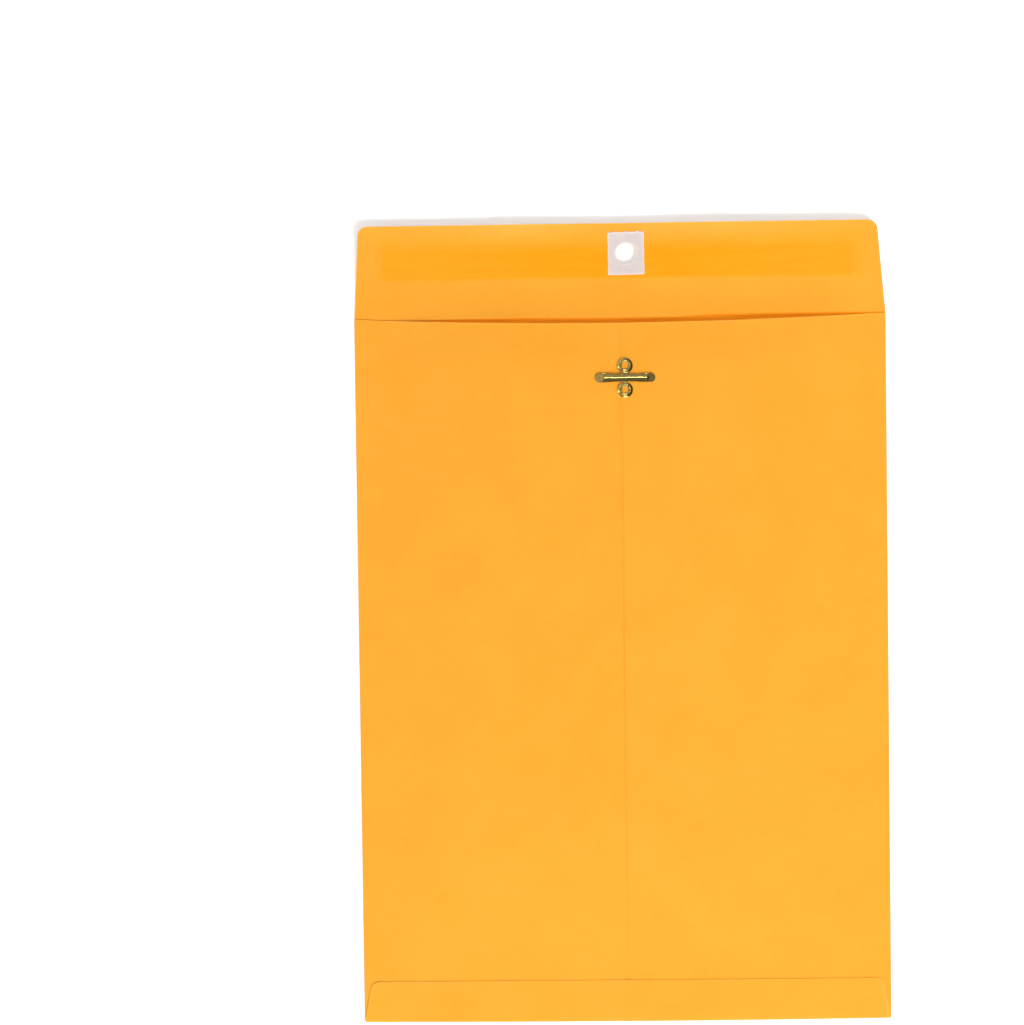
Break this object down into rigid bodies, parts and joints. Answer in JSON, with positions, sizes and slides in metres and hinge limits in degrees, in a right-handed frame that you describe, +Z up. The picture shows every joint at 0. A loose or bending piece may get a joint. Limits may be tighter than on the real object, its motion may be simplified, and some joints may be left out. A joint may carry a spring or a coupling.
{
  "type": "clasp envelope",
  "caption": "Flat kraft paper envelope with a glued centre seam, a gummed closure flap with a patched hole, and a two-prong metal clasp that holds the flap shut.",
  "frame": {"origin": "on the resting plane, under the middle of the outline with the flap open", "axes": "+Z up, out of the clasp side; +Y along the envelope towards the closure flap; +X to the right seen from the clasp side"},
  "size_m": [0.2286, 0.3444, 0.0063],
  "materials": {
    "kraft_paper": "smooth uncoated golden kraft",
    "dried_glue": "dried adhesive film",
    "flap_gum": "dried remoistenable gum, glossy",
    "patch_paper": "off-white reinforcing paper",
    "clasp_metal": "bright stamped brass finish"
  },
  "bodies": {
    "pocket": {"front_panel": "kraft_paper", "left_wing": "kraft_paper", "right_wing": "kraft_paper", "bottom_flap": "kraft_paper", "seam_glue": "dried_glue", "bottom_glue": "dried_glue", "clasp_base": "clasp_metal"},
    "flap": {"closure_flap": "kraft_paper", "gum_band": "flap_gum", "hole_patch": "patch_paper"},
    "left_prong": {"clasp_left_prong": "clasp_metal"},
    "right_prong": {"clasp_right_prong": "clasp_metal"}
  },
  "joints": [
    {"name": "flap_crease", "type": "hinge", "parent": "pocket", "child": "flap", "pos_m": [0, 0.1326, 0.00275], "axis": [1, 0, 0], "range_deg": [0, 170]},
    {"name": "left_prong_bend", "type": "hinge", "parent": "pocket", "child": "left_prong", "pos_m": [0.00162, 0.106, 0.00588], "axis": [0, 1, 0], "range_deg": [0, 90]},
    {"name": "right_prong_bend", "type": "hinge", "parent": "pocket", "child": "right_prong", "pos_m": [0.00258, 0.106, 0.00588], "axis": [0, -1, 0], "range_deg": [0, 90]}
  ]
}
